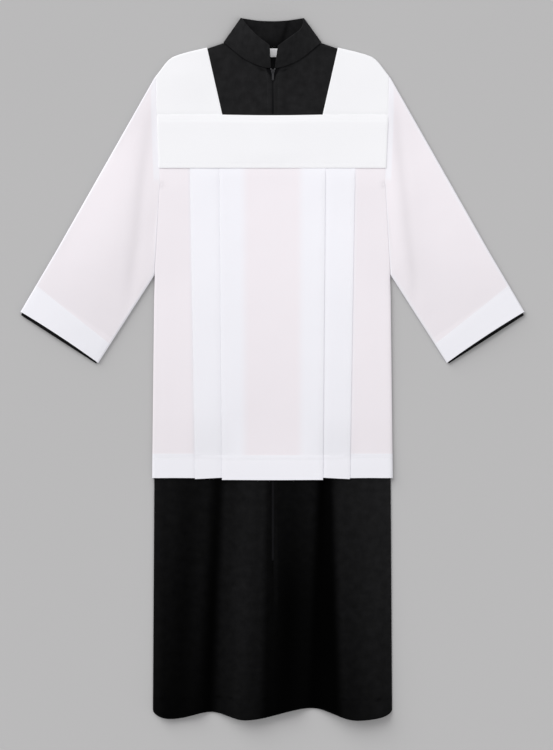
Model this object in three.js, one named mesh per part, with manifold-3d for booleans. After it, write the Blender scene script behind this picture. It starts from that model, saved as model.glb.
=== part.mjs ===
// An altar server's habit laid flat on its back: a black cassock with a stand collar and a zip front, under
// a white surplice with a square neck, a double chest band and four knife pleats.
// Millimetres. +X is the right of the picture, +Y runs up to the collar, +Z is up from the surface.
// The origin is on the surface, in the middle of the garment's outline.
import * as THREE from "three";
import Module from "manifold-3d";

// Cloth
const cloth = 1.0; // one layer of cloth with the air in it
const gap = 0.3; // between layers, and at seams
const pitch = cloth + gap; // from one layer to the next
const bandCloth = 2.2; // the chest band is double cloth
const collarCloth = 2.0; // the collar is double cloth round an interlining

// Heights of the lower face of each layer above the surface
const level = { surpliceBack: 0, cassockBack: pitch, cassockFront: 2 * pitch, surpliceFront: 3 * pitch };

// Places along the length
const bandTop = 400; // top edge of the chest band
const bandFoot = 314.2; // seam between the chest band and the pleated front
const underarm = 291.5;
const surpliceHem = -172;
const backHem = -528; // the cassock's back ends just inside its front hem
const hemTurn = 31; // depth of the cassock's turned-up hem
const cuffTurn = 38; // depth of the surplice's turned-up cuffs

// The zip
const zipX = 0.65; // the closure lies this far right of the middle
const zipTapeWidth = 24;
const zipTop = 469;
const zipFoot = -300;
const flyOpen = 9.3; // each front edge stands this far from the zip at the neck
const flyCloses = 451.3; // and the two edges meet here
const slider = { width: 6, length: 6.4, foot: 462.8, low: 3.9, plate: 1.5 };
const bridge = { width: 1.2, half: 1.8, high: 2.4, bar: 0.7 };
const tab = { width: 3.3, thick: 0.9, length: 13.4, eye: 2.7, arm: 0.7 };
const pivot = { y: 465.6, z: 6.25 };

// Outlines as half widths, the same on both sides
const surpliceSide = [
  { y: 400, x: 180.5 },
  { y: 314, x: 177.2 },
  { y: 291.5, x: 176.3 },
  { y: 147, x: 184.2 },
  { y: 110, x: 185.3 },
  { y: -176, x: 188.5 },
];
const cassockSide = [
  { y: 482, x: 160 },
  { y: 470, x: 168 },
  { y: 455, x: 171.4 },
  { y: 440, x: 171.8 },
  { y: 300, x: 172 },
  { y: 288, x: 173.2 },
  { y: 147, x: 181.2 },
  { y: 110, x: 182.2 },
  { y: -171, x: 185.0 },
  { y: -533, x: 187.2 },
];
// The front neck seam and the shoulder line of the cassock
const cassockTop = [
  { x: 3.9, y: 470.6 },
  { x: 9.7, y: 471.1 },
  { x: 25.9, y: 475.9 },
  { x: 48.7, y: 487.9 },
  { x: 75.2, y: 511.0 },
  { x: 102.6, y: 501.6 },
  { x: 150, y: 488.6 },
  { x: 160, y: 481.6 },
];
const backNeck = [
  { x: 0, y: 504.4 },
  { x: 30, y: 505.2 },
  { x: 60, y: 508.2 },
  { x: 75.2, y: 511.0 },
];
// The shoulder outline of the surplice, from its neck corner to the top of its sleeve
const shoulderLine = [
  { x: 102.6, y: 503.7 },
  { x: 131, y: 497.0 },
  { x: 146, y: 492.8 },
  { x: 156, y: 489.0 },
  { x: 162.5, y: 484.3 },
  { x: 168.5, y: 477.8 },
  { x: 176.4, y: 467.2 },
  { x: 182.7, y: 459.1 },
];
// Crests and hollows of the cassock's front hem
const hemLine = [
  { x: -187.2, y: -533 },
  { x: -181, y: -541 },
  { x: -160, y: -547.5 },
  { x: -96, y: -537 },
  { x: -42, y: -549 },
  { x: 61, y: -531 },
  { x: 130, y: -550 },
  { x: 181, y: -541 },
  { x: 187.2, y: -533 },
];
// The skirt's folds: where each crest or hollow lies under the surplice's hem and at the hem, and its height there
const skirtFolds = [
  { top: -188, hem: -190, high: 0 },
  { top: -168, hem: -168, high: 9 },
  { top: -129, hem: -148, high: 5.5 },
  { top: -104, hem: -124, high: 8 },
  { top: -79, hem: -96, high: 0 },
  { top: -42, hem: -46, high: 17 },
  { top: 0, hem: 0.6, high: 11 },
  { top: 34, hem: 20, high: 12 },
  { top: 82, hem: 62, high: 0 },
  { top: 120, hem: 116, high: 19 },
  { top: 166, hem: 168, high: 13 },
  { top: 188, hem: 190, high: 0 },
];
const foldsStart = -120; // the folds begin here and are full at the hem
const foldsFull = -545;
// One half of the pleated front, from the side seam to the middle: place at the top and at the hem, and layer.
// Each pair of rows at one place is a fold. The last column says how far the edge reaches below the side hem.
const pleats = [
  { top: 150, hem: 155, layer: 0, drop: -1 },
  { top: 110, hem: 112, layer: 0, drop: 1 },
  { top: 90, hem: 86, layer: 0, drop: 1 },
  { top: 90, hem: 86, layer: 1, drop: 1 },
  { top: 108, hem: 103, layer: 1, drop: 2 },
  { top: 128.8, hem: 120.7, layer: 1, drop: 1.2 },
  { top: 128.8, hem: 120.7, layer: 2, drop: 1.2 },
  { top: 110, hem: 103, layer: 2, drop: 1 },
  { top: 91, hem: 87, layer: 2, drop: 0 },
  { top: 83, hem: 79, layer: 0.9, drop: 0 },
  { top: 75, hem: 71, layer: 0, drop: 0 },
  { top: 43.5, hem: 43.5, layer: 0, drop: 0 },
  { top: 43.5, hem: 43.5, layer: 1, drop: 1 },
  { top: 75, hem: 71, layer: 1.1, drop: 2 },
  { top: 82.5, hem: 78.5, layer: 2, drop: 2 },
  { top: 82.5, hem: 78.5, layer: 3, drop: 2 },
  { top: 74, hem: 70, layer: 2.2, drop: 2.4 },
  { top: 48, hem: 48, layer: 2, drop: 2.6 },
  { top: 34, hem: 34, layer: 1.2, drop: 2.8 },
  { top: 20, hem: 20, layer: 1, drop: 3 },
  { top: 0, hem: 0, layer: 1, drop: 3.2 },
];

const V = (x, y, z) => new THREE.Vector3(x, y, z);
const mix = THREE.MathUtils.lerp;
const smooth = (x) => THREE.MathUtils.smoothstep(x, 0, 1);

// A value read off a short table, straight between its rows.
function read(table, from, to, at) {
  const rows = [...table].sort((a, b) => a[from] - b[from]);
  if (at <= rows[0][from]) return rows[0][to];
  for (let i = 1; i < rows.length; i++)
    if (at <= rows[i][from]) {
      const [a, b] = [rows[i - 1], rows[i]];
      return mix(a[to], b[to], (at - a[from]) / (b[from] - a[from]));
    }
  return rows.at(-1)[to];
}

// A value between rows that are crests and hollows, level at each of them.
function waved(rows, at) {
  if (at <= rows[0].at) return rows[0].value;
  for (let i = 1; i < rows.length; i++)
    if (at <= rows[i].at) {
      const [a, b] = [rows[i - 1], rows[i]];
      const t = (at - a.at) / (b.at - a.at);
      return mix(a.value, b.value, (1 - Math.cos(Math.PI * t)) / 2);
    }
  return rows.at(-1).value;
}

// A point at a share of the way along a path of plan points.
function alongPath(path, share) {
  const steps = path.slice(1).map((p, i) => Math.hypot(p.x - path[i].x, p.y - path[i].y));
  let left = share * steps.reduce((a, b) => a + b, 0);
  for (let i = 0; i < steps.length; i++) {
    if (left <= steps[i] + 1e-9) {
      const t = Math.min(1, left / steps[i]);
      return { x: mix(path[i].x, path[i + 1].x, t), y: mix(path[i].y, path[i + 1].y, t) };
    }
    left -= steps[i];
  }
  return path.at(-1);
}

// A closed wall of cloth. The rows hold points, and the wall reaches `under` below them and `over` above them, along
// their normals. A ringed wall closes on itself along each row.
function wall(rows, under, over, ringed = false) {
  const n = rows.length;
  const m = rows[0].length;
  const at = (i, j) => rows[i][ringed ? (j + m) % m : j];
  const facing = (i, j) => {
    const a = at(i + 1, j).clone().sub(at(i, j + 1));
    return a.cross(at(i + 1, j + 1).clone().sub(at(i, j))).normalize();
  };
  const reach = (amount, i, j) => (typeof amount === "function" ? amount(i, j) : amount);
  const top = [];
  const low = [];
  for (let i = 0; i < n; i++)
    for (let j = 0; j < m; j++) {
      const faces = [];
      for (const a of [i - 1, i])
        for (const b of [j - 1, j])
          if (a >= 0 && a < n - 1 && (ringed || (b >= 0 && b < m - 1))) faces.push(facing(a, b));
      const normal = faces.reduce((s, f) => s.add(f), V(0, 0, 0)).normalize();
      const share = faces.reduce((s, f) => s + f.dot(normal), 0) / faces.length;
      normal.multiplyScalar(1 / Math.max(0.6, share));
      top.push(at(i, j).clone().addScaledVector(normal, reach(over, i, j)));
      low.push(at(i, j).clone().addScaledVector(normal, -reach(under, i, j)));
    }
  const points = [...top, ...low];
  const t = (i, j) => i * m + ((j + m) % m);
  const l = (i, j) => n * m + t(i, j);
  const faces = [];
  const quad = (a, b, c, d) => faces.push(a, b, c, a, c, d);
  const columns = ringed ? m : m - 1;
  for (let i = 0; i < n - 1; i++)
    for (let j = 0; j < columns; j++) {
      quad(t(i, j), t(i + 1, j), t(i + 1, j + 1), t(i, j + 1));
      quad(l(i, j), l(i, j + 1), l(i + 1, j + 1), l(i + 1, j));
    }
  for (let j = 0; j < columns; j++) {
    quad(t(0, j), t(0, j + 1), l(0, j + 1), l(0, j));
    quad(t(n - 1, j + 1), t(n - 1, j), l(n - 1, j), l(n - 1, j + 1));
  }
  if (!ringed)
    for (let i = 0; i < n - 1; i++) {
      quad(t(i, m - 1), t(i + 1, m - 1), l(i + 1, m - 1), l(i, m - 1));
      quad(t(i + 1, 0), t(i, 0), l(i, 0), l(i + 1, 0));
    }
  const shape = new THREE.BufferGeometry();
  shape.setAttribute("position", new THREE.Float32BufferAttribute(points.flatMap((p) => [p.x, p.y, p.z]), 3));
  shape.setIndex(faces);
  return shape;
}

// The same shape on the other side of the middle.
function mirrored(shape) {
  const other = shape.clone();
  const p = other.getAttribute("position");
  for (let i = 0; i < p.count; i++) p.setX(i, -p.getX(i));
  const index = [...other.getIndex().array];
  for (let i = 0; i < index.length; i += 3) [index[i + 1], index[i + 2]] = [index[i + 2], index[i + 1]];
  other.setIndex(index);
  return other;
}

// How far the skirt's folds lift its front at a place.
function foldLift(x, y) {
  const grown = Math.max(0, Math.min(1, (foldsStart - y) / (foldsStart - foldsFull))) ** 1.25;
  const down = Math.max(0, Math.min(1, (surpliceHem - y) / (surpliceHem - foldsFull)));
  return grown * waved(skirtFolds.map((f) => ({ at: mix(f.top, f.hem, down), value: f.high })), x);
}

// The fronts lie over the zip tapes, which lift them by one layer.
function zipLift(x, y) {
  const across = 1 - smooth((Math.abs(x - zipX) - zipTapeWidth / 2 - 2) / 10);
  return pitch * across * smooth((y - zipFoot + 20) / 18);
}

// Below the surplice's hem the cassock comes down by one layer, its back first.
const backDrop = (y) => pitch * smooth((surpliceHem + 2 - y) / 8);
const frontDrop = (y) => pitch * smooth((surpliceHem - 6 - y) / 12);

// The cassock's back
const backRows = [null, 451, 380, 302, 288, 200, 100, 0, -90, -168, -170, -174, -178, -260, -350, -440, backHem];
const backPlaces = [-1, -0.94, -0.86, -0.7, -0.56, -0.42, -0.3, -0.18, 0, 0.18, 0.3, 0.42, 0.56, 0.7, 0.86, 0.94, 1];
const cassockBack = wall(
  backRows.map((row) =>
    backPlaces.map((u) => {
      const wide = read(cassockSide, "y", "x", row ?? 482);
      const x = u * wide;
      const neck = Math.abs(x) < 75.2 ? backNeck : cassockTop;
      const y = row ?? read(neck, "x", "y", Math.abs(x));
      return V(x, y, level.cassockBack - backDrop(y));
    }),
  ),
  0,
  cloth,
);

// The cassock's fronts, from the middle out. The turned-up hem is thicker.
const acrossFront = [0, 6.5, 12.6, 18, 24.5, 34, 44, 55, 66, 78, 90, 102, 115, 130, 145, 160, 172, 180, 187.2];
const frontRows = [
  null, 461, 451.3, 420, 380, 330, 302, 288, 200, 100, 0, -80, -120, -150, -172, -178, -184, -190, -215, -245, -275,
  -302, -322, -350, -380, -410, -440, -470, -495,
];
function cassockFront(side) {
  const rows = [...frontRows, "turn", "stitch", "hem"];
  const edge = (y) => {
    const open = flyOpen * Math.max(0, Math.min(1, (y - flyCloses) / (zipTop - flyCloses)));
    return side * zipX + gap / 2 + open;
  };
  const shape = wall(
    rows.map((row) => {
      const line = acrossFront.map((across) => {
        const u = across / 187.2;
        const place = (y) => mix(edge(y), read(cassockSide, "y", "x", y), u);
        const hem = waved(hemLine.map((h) => ({ at: h.x, value: h.y })), side * place(-533));
        let y = row;
        if (row === null) y = read(cassockTop, "x", "y", place(480));
        if (row === "turn") y = hem + hemTurn + 1;
        if (row === "stitch") y = hem + hemTurn;
        if (row === "hem") y = hem;
        const x = side * place(y);
        return V(x, y, level.cassockFront - frontDrop(y) + foldLift(x, y) + zipLift(x, y));
      });
      return side < 0 ? line.reverse() : line;
    }),
    0,
    (i) => cloth + (i > rows.length - 3 ? 0.4 : 0),
  );
  return shape;
}

// The zip tapes, closed, behind the two front edges
const tapeRows = [
  zipTop, 451.3, 420, 380, 330, 291, 200, 100, 0, -80, -120, -150, -172, -178, -184, -190, -215, -245, -275, zipFoot,
];
const zipTape = wall(
  tapeRows.map((y) =>
    [-0.5, -0.25, 0, 0.25, 0.5].map((u) => {
      const x = zipX + u * zipTapeWidth;
      return V(x, y, level.cassockFront - frontDrop(y) + foldLift(x, y));
    }),
  ),
  0,
  cloth,
);

// A sleeve lies flat as a tube. Its outer path runs from the shoulder and its inner path from the underarm, and it is
// as thick as its two layers, with a soft crown that the middle of its upper layer rises by.
function sleeve({ outer, inner, low, high, crown, corner, shares, over }) {
  const across = [0.08, 0.22, 0.36, 0.5, 0.64, 0.78, 0.92];
  const rows = shares.map((v) => {
    const a = alongPath(outer, v);
    const b = alongPath(inner, v);
    const length = Math.hypot(b.x - a.x, b.y - a.y);
    const at = (d, z) => V(mix(a.x, b.x, d / length), mix(a.y, b.y, d / length), z);
    const rise = crown * smooth(v / 0.35);
    const top = across.map((s) => at(s * length, high + rise * Math.sin(Math.PI * s)));
    const bottom = [0.85, 0.5, 0.15].map((s) => at(s * length, low));
    const half = cloth / 2;
    const rim = (near, far, z1, z2) => [at(near, z1), at(far, z2)];
    return [
      ...rim(half, half + corner, high - corner, high),
      ...top,
      ...rim(length - half - corner, length - half, high, high - corner),
      ...rim(length - half, length - half - corner, low + corner, low),
      ...bottom,
      ...rim(half + corner, half, low, low + corner),
    ];
  });
  return wall(rows, cloth / 2, over, true);
}
const cuff = { outer: { x: -392.5, y: 87.8 }, inner: { x: -273.4, y: 9.0 } };
const hemShare = 1 - cuffTurn / 427;
const surpliceSleeve = sleeve({
  outer: [{ x: -183.0, y: 458.8 }, cuff.outer],
  inner: [{ x: -176.9, y: 291.2 }, { x: -184.8, y: 147.3 }, cuff.inner],
  low: 0.5,
  high: level.surpliceFront + cloth / 2,
  crown: 3.2,
  corner: 1.1,
  shares: [0, 0.02, 0.12, 0.24, 0.36, 0.47, 0.58, 0.69, 0.8, hemShare - 0.004, hemShare, 1],
  over: (i, j) => cloth / 2 + (i > 9 && j > 0 && j < 10 ? 0.4 : 0),
});
// The surplice's sleeve meets the body along its armhole, so its first ring follows that seam.
const cassockSleeve = sleeve({
  outer: [{ x: -172.4, y: 466.5 }, { x: -183.2, y: 453.6 }, { x: -392.1, y: 83.4 }],
  inner: [{ x: -173.3, y: 303.5 }, { x: -181, y: 292 }, { x: -187.4, y: 147 }, { x: -276.4, y: 8.8 }],
  low: level.cassockBack + cloth / 2,
  high: level.cassockFront + cloth / 2,
  crown: 2.4,
  corner: 0.3,
  shares: [0, 0.04, 0.14, 0.26, 0.38, 0.49, 0.6, 0.71, 0.82, 0.91, 1],
  over: cloth / 2,
});

// The stand collar: a band from the left front end round the back to the right front end. Each row gives the seam
// point, the point on the upper edge, and how high the middle of the cloth lies there.
const collarLeft = [
  { seamX: -4.0, seamY: 471.3, edgeX: -4.6, edgeY: 504.4, low: 5.9, high: 24.0 },
  { seamX: -10.5, seamY: 472.2, edgeX: -9.6, edgeY: 508.3, low: 5.8, high: 24.2 },
  { seamX: -20.0, seamY: 474.8, edgeX: -16.6, edgeY: 513.6, low: 5.5, high: 23.4 },
  { seamX: -32.0, seamY: 479.7, edgeX: -24.6, edgeY: 520.6, low: 5.0, high: 21.0 },
  { seamX: -46.0, seamY: 487.3, edgeX: -33.4, edgeY: 530.0, low: 4.7, high: 17.0 },
  { seamX: -58.5, seamY: 496.9, edgeX: -40.6, edgeY: 538.8, low: 4.6, high: 12.4 },
  { seamX: -68.5, seamY: 505.6, edgeX: -45.6, edgeY: 545.6, low: 4.5, high: 8.0 },
  { seamX: -73.9, seamY: 511.8, edgeX: -48.3, edgeY: 549.3, low: 4.4, high: 5.2 },
  { seamX: -73.9, seamY: 512.0, edgeX: -48.3, edgeY: 549.4, low: 2.5, high: 1.1 },
  { seamX: -60, seamY: 508.9, edgeX: -38, edgeY: 547.8, low: 2.4, high: 1.0 },
  { seamX: -40, seamY: 506.9, edgeX: -26, edgeY: 546.0, low: 2.4, high: 1.0 },
  { seamX: -20, seamY: 505.6, edgeX: -13, edgeY: 545.0, low: 2.4, high: 1.0 },
];
const collarRight = collarLeft.map((c, i) => ({
  ...c,
  seamX: -c.seamX,
  edgeX: i < 2 ? 8.9 + 4 * i : -c.edgeX,
  edgeY: i < 7 ? c.edgeY - 0.4 : c.edgeY,
}));
const collarBack = [{ seamX: 0, seamY: 505.1, edgeX: 0, edgeY: 544.7, low: 2.4, high: 1.0 }];
const collarRows = [0, 0.34, 0.67, 1];
const collarColumns = [...collarLeft, ...collarBack, ...collarRight.reverse()];
const collar = wall(
  collarRows.map((v) =>
    collarColumns.map((c) => {
      const bulge = c.high > 4 ? 2.4 * Math.sin(Math.PI * v) * smooth((c.high - 4) / 12) : 0;
      return V(mix(c.seamX, c.edgeX, v), mix(c.seamY, c.edgeY, v), mix(c.low, c.high, v) + bulge);
    }),
  ),
  collarCloth / 2,
  collarCloth / 2,
);

// The blank label under the back neck seam
const label = wall(
  [504, 497, 490].map((y) => [-13, 0, 13].map((x) => V(x, y, level.cassockBack + pitch))),
  0,
  cloth,
);

// The surplice's back: a flat panel with a shallow square neck
const backOutline = new THREE.Shape();
const right = [
  ...surpliceSide.filter((s) => s.y < 400 && s.y > -176).map((s) => V(s.x, s.y, 0)),
  V(188.4, surpliceHem + 4, 0),
];
const neckCorner = { x: 101, y: 455 };
backOutline.moveTo(-neckCorner.x + 6, neckCorner.y);
backOutline.lineTo(neckCorner.x - 6, neckCorner.y);
for (const s of shoulderLine) backOutline.lineTo(s.x - 0.1, s.y - 0.1);
for (const p of right) backOutline.lineTo(p.x, p.y);
for (const p of [...right].reverse()) backOutline.lineTo(-p.x, p.y);
for (const s of [...shoulderLine].reverse()) backOutline.lineTo(-s.x + 0.1, s.y - 0.1);
backOutline.closePath();
const surpliceBack = new THREE.ExtrudeGeometry(backOutline, { depth: cloth, bevelEnabled: false });

// The pleated front below the chest band. Its side edges roll down to the back below the underarm.
const pleatRows = [bandFoot, 302, 294, 288, 240, 147, 60, -30, -110, -140, "hem"];
const surpliceFront = wall(
  pleatRows.map((row) => {
    const half = (side) => {
      const edge = [];
      const yEdge = row === "hem" ? surpliceHem + 4.5 : row;
      const x0 = read(surpliceSide, "y", "x", yEdge) - cloth / 2;
      const rolled = smooth((underarm + 1 - yEdge) / 6);
      const top = level.surpliceFront + cloth / 2;
      const foot = level.cassockBack + cloth / 2 + 0.1;
      edge.push(V(side * (x0 - 0.1 * (1 - rolled)), yEdge, mix(top, foot, rolled)));
      edge.push(V(side * (x0 - 0.9 * (1 - rolled)), yEdge, mix(top, top - 1.1, rolled)));
      edge.push(V(side * (x0 - 1.6), yEdge, top));
      edge.push(V(side * (x0 - 12), yEdge, top));
      for (const p of pleats) {
        const down = (bandFoot - yEdge) / (bandFoot - surpliceHem);
        const y = row === "hem" ? surpliceHem + 2 - p.drop : row;
        edge.push(V(side * mix(p.top, p.hem, down), y, top + p.layer * pitch));
      }
      return edge;
    };
    const left = half(-1);
    const line = [...left, ...half(1).reverse().slice(1)];
    // Near the hem the front rides over the first of the skirt's folds.
    for (const [i, p] of line.entries()) {
      const inner = Math.min(i, line.length - 1 - i) > 1 ? 1 : 0;
      p.z += inner * 1.5 * smooth((-90 - p.y) / 60);
    }
    return line;
  }),
  cloth / 2,
  cloth / 2,
);

// The chest band, double cloth, from armhole to armhole
const bandPlaces = [-1, -0.66, -0.4, -0.2, -0.14, -0.11, -0.07, 0, 0.07, 0.115, 0.145, 0.2, 0.4, 0.66, 1];
const chestBand = wall(
  [0, 0.5, 1].map((v) =>
    bandPlaces.map((u) => {
      const wide = mix(180.1, 177.1, v);
      const x = u * wide;
      const bow = Math.abs(x) < 78.5 ? 2.1 * Math.cos((Math.PI / 2) * (x / 78.5)) : 0;
      const y = mix(bandTop - 0.3 - bow, bandFoot + gap, v);
      return V(x, y, level.surpliceFront + 0.2 + zipLift(x, y));
    }),
  ),
  0,
  bandCloth,
);

// A shoulder piece, from the shoulder fold down to the chest band
const shoulder = (() => {
  const top = level.surpliceFront + cloth / 2;
  const foot = level.cassockBack + cloth / 2 + 0.1;
  const shares = [0, 0.2, 0.35, 0.46, 0.54, 0.6, 0.66, 0.72, 0.79, 0.88, 1];
  const inset = (s, amount) => {
    const a = alongPath(shoulderLine, Math.max(0, s - 0.03));
    const b = alongPath(shoulderLine, Math.min(1, s + 0.03));
    const p = alongPath(shoulderLine, s);
    const size = Math.hypot(b.x - a.x, b.y - a.y);
    return { x: p.x + ((b.y - a.y) / size) * amount, y: p.y - ((b.x - a.x) / size) * amount };
  };
  const rows = [
    { amount: 0.5, z: foot },
    { amount: 0.5, z: top - 1.2 },
    { amount: 1.7, z: top },
    { down: 0.06, z: top },
    { down: 0.35, z: top },
    { down: 0.7, z: top },
    { down: 1, z: top },
  ];
  return wall(
    rows.map((row) =>
      shares
        .map((s) => {
          const amount = row.amount ?? 1.7;
          const p = inset(s, amount);
          const foot = { x: mix(78.6, 180.1, s), y: bandTop + gap / 2 };
          const down = row.down ?? 0;
          return V(-mix(p.x, foot.x, down), mix(p.y, foot.y, down), row.z);
        })
        .reverse(),
    ),
    cloth / 2,
    cloth / 2,
  );
})();

// The zip slider: a plate with a narrow bridge over it, which the pull tab's bar passes under
const wasm = await Module();
wasm.setup();
function solid(shape) {
  const bare = shape.index ? shape.toNonIndexed() : shape;
  const p = bare.getAttribute("position");
  const seen = new Map();
  const points = [];
  const faces = [];
  for (let i = 0; i < p.count; i++) {
    const at = [p.getX(i), p.getY(i), p.getZ(i)].map((c) => Math.round(c * 1e4) / 1e4);
    const key = at.join();
    if (!seen.has(key)) {
      seen.set(key, points.length / 3);
      points.push(...at);
    }
    faces.push(seen.get(key));
  }
  return new wasm.Manifold(
    new wasm.Mesh({ numProp: 3, vertProperties: new Float32Array(points), triVerts: new Uint32Array(faces) }),
  );
}
function shapeOf(body) {
  const mesh = body.getMesh();
  const shape = new THREE.BufferGeometry();
  const points = [];
  for (let i = 0; i < mesh.numVert; i++)
    points.push(...mesh.vertProperties.subarray(i * mesh.numProp, i * mesh.numProp + 3));
  shape.setAttribute("position", new THREE.Float32BufferAttribute(points, 3));
  shape.setIndex([...mesh.triVerts]);
  return shape;
}
const plateOutline = new THREE.Shape([
  new THREE.Vector2(-slider.width / 2 + 0.9, 0),
  new THREE.Vector2(slider.width / 2 - 0.9, 0),
  new THREE.Vector2(slider.width / 2, slider.length * 0.62),
  new THREE.Vector2(slider.width / 2 - 0.3, slider.length),
  new THREE.Vector2(0.7, slider.length),
  new THREE.Vector2(0, slider.length - 0.9),
  new THREE.Vector2(-0.7, slider.length),
  new THREE.Vector2(-slider.width / 2 + 0.3, slider.length),
  new THREE.Vector2(-slider.width / 2, slider.length * 0.62),
]);
const plate = new THREE.ExtrudeGeometry(plateOutline, { depth: slider.plate, bevelEnabled: false });
plate.translate(zipX, slider.foot, slider.low);
const arch = new THREE.Shape([
  new THREE.Vector2(-bridge.half, -0.4),
  new THREE.Vector2(-bridge.half, bridge.high - 0.6),
  new THREE.Vector2(-bridge.half + 0.6, bridge.high),
  new THREE.Vector2(bridge.half - 0.6, bridge.high),
  new THREE.Vector2(bridge.half, bridge.high - 0.6),
  new THREE.Vector2(bridge.half, -0.4),
]);
arch.holes.push(
  new THREE.Path([
    new THREE.Vector2(-bridge.half + bridge.bar, 0.0),
    new THREE.Vector2(bridge.half - bridge.bar, 0.0),
    new THREE.Vector2(bridge.half - bridge.bar, bridge.high - bridge.bar),
    new THREE.Vector2(-bridge.half + bridge.bar, bridge.high - bridge.bar),
  ]),
);
const strap = new THREE.ExtrudeGeometry(arch, { depth: bridge.width, bevelEnabled: false });
strap.rotateX(Math.PI / 2).rotateZ(Math.PI / 2); // its profile stands along the zip
strap.translate(zipX - bridge.width / 2, pivot.y, slider.low + slider.plate);
const zipSlider = shapeOf(solid(plate).add(solid(strap)));

// The pull tab: a flat tab with an eye, whose end bar passes under the bridge. It lies down the front.
const tabHalf = tab.width / 2;
const bar = tab.thick / 2;
const tabOutline = new THREE.Shape([
  new THREE.Vector2(-tabHalf, bar),
  new THREE.Vector2(-tabHalf, -tab.length + 1),
  new THREE.Vector2(-tabHalf + 0.9, -tab.length),
  new THREE.Vector2(tabHalf - 0.9, -tab.length),
  new THREE.Vector2(tabHalf, -tab.length + 1),
  new THREE.Vector2(tabHalf, bar),
]);
tabOutline.holes.push(
  new THREE.Path([
    new THREE.Vector2(-tabHalf + tab.arm, -bar),
    new THREE.Vector2(tabHalf - tab.arm, -bar),
    new THREE.Vector2(tabHalf - tab.arm, -tab.eye),
    new THREE.Vector2(-tabHalf + tab.arm, -tab.eye),
  ]),
);
const pullTab = new THREE.ExtrudeGeometry(tabOutline, { depth: tab.thick, bevelEnabled: false });
pullTab.translate(zipX, pivot.y, pivot.z - tab.thick / 2);

// Colours
const black = { color: "#1b1b1d", roughness: 0.85, metalness: 0 };
const white = { color: "#f1eff4", roughness: 0.85, metalness: 0 };
const paper = { color: "#e6e6e6", roughness: 0.8, metalness: 0 };
const dark = { color: "#2c2c2f", roughness: 0.4, metalness: 0.8 };

const habit = new THREE.Group();
const cassock = new THREE.Group();
const surplice = new THREE.Group();
const zip = new THREE.Group();
habit.add(cassock, surplice);
cassock.add(zip);
function place(group, name, shape, look) {
  const mesh = new THREE.Mesh(shape, new THREE.MeshStandardMaterial(look));
  mesh.name = name;
  group.add(mesh);
}
place(cassock, "cassock_back", cassockBack, black);
place(cassock, "cassock_front_left", cassockFront(-1), black);
place(cassock, "cassock_front_right", cassockFront(1), black);
place(cassock, "cassock_sleeve_left", cassockSleeve, black);
place(cassock, "cassock_sleeve_right", mirrored(cassockSleeve), black);
place(cassock, "cassock_collar", collar, black);
place(cassock, "neck_label", label, paper);
place(zip, "zip_tape", zipTape, black);
place(zip, "zip_slider", zipSlider, dark);
place(zip, "zip_pull_tab", pullTab, dark);
place(surplice, "surplice_back", surpliceBack, white);
place(surplice, "surplice_front", surpliceFront, white);
place(surplice, "surplice_chest_band", chestBand, white);
place(surplice, "surplice_shoulder_left", shoulder, white);
place(surplice, "surplice_shoulder_right", mirrored(shoulder), white);
place(surplice, "surplice_sleeve_left", surpliceSleeve, white);
place(surplice, "surplice_sleeve_right", mirrored(surpliceSleeve), white);

export default habit;
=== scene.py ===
import math

import bmesh
import bpy
from bpy.props import FloatProperty, FloatVectorProperty, PointerProperty
from bpy.types import Operator, Panel, PropertyGroup
from mathutils import Matrix, Vector, noise
from mathutils.bvhtree import BVHTree


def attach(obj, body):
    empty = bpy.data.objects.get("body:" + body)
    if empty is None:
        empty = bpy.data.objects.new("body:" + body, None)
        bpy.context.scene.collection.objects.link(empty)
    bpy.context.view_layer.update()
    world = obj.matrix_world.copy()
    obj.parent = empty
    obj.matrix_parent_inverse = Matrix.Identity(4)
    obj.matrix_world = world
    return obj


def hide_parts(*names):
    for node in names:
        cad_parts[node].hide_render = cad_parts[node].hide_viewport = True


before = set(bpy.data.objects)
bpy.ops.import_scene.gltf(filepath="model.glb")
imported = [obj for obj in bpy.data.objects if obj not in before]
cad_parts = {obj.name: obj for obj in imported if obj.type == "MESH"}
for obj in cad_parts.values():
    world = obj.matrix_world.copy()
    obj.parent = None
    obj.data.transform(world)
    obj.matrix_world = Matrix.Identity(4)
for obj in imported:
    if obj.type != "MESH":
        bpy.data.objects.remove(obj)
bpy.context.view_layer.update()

bl_info = {
    "name": "Altar server's habit",
    "version": (1, 0, 0),
    "blender": (4, 5, 0),
    "location": "View3D > Sidebar > Habit",
    "description": "A black cassock under a white pleated surplice, laid flat on a pale floor",
    "category": "Object",
}

# The cloth is worked out in millimetres, +X right, +Y to the collar, +Z up, and made in metres.
MM = 0.001

SURPLICE_HEM = -172.0
HEM_TOP = SURPLICE_HEM + 37
BAND_TOP, BAND_FOOT = 400.0, 314.2
UNDERARM_TACK = 173.7, 288.8
# Where the pleats' outer and inner folds lie on either side of the middle, at the band and at the hem
OUTER_FOLD, INNER_FOLD = (129.6, 121.6), (83.4, 79.4)
# The ends of the white sleeve's cuff, and the share of the sleeve's length where its turned-up hem begins
CUFF_OUT, CUFF_IN, CUFF_TOP = (-394.5, 89.5), (-273.1, 9.4), 0.886
ZIP_X = 0.65
FLY_OPEN, FLY_CLOSES, ZIP_TOP, ZIP_FOOT = 9.3, 451.3, 469.0, -300.0

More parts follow.
